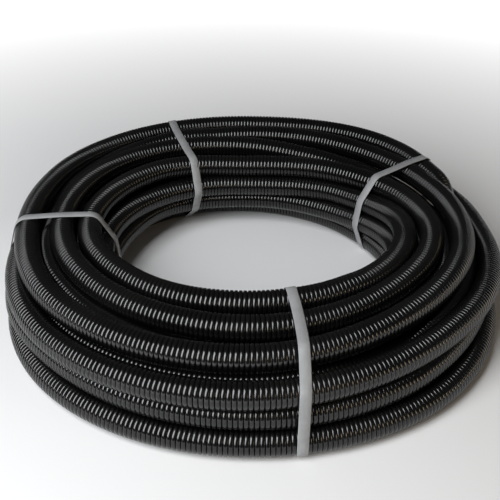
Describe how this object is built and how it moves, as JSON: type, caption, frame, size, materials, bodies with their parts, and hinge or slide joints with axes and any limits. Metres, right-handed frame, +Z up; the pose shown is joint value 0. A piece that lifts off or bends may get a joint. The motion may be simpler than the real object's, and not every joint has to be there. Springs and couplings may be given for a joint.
{
  "type": "coil of corrugated conduit",
  "caption": "Coil of black corrugated plastic conduit, wound in loose layers round an open centre and held by flat grey straps, lying flat.",
  "frame": {"origin": "on the ground, at the centre of the coil's bounding box", "axes": "+Z up along the coil's axis; -Y towards the side with the front strap; +X to the right seen from there"},
  "size_m": [0.6755, 0.675, 0.1268],
  "materials": {
    "conduit": "black ribbed plastic, glossy",
    "strap": "grey embossed strapping"
  },
  "bodies": {
    "root": {"conduit_coil": "conduit", "strap_front": "strap", "strap_left": "strap", "strap_back_left": "strap", "strap_back_right": "strap"}
  },
  "joints": []
}
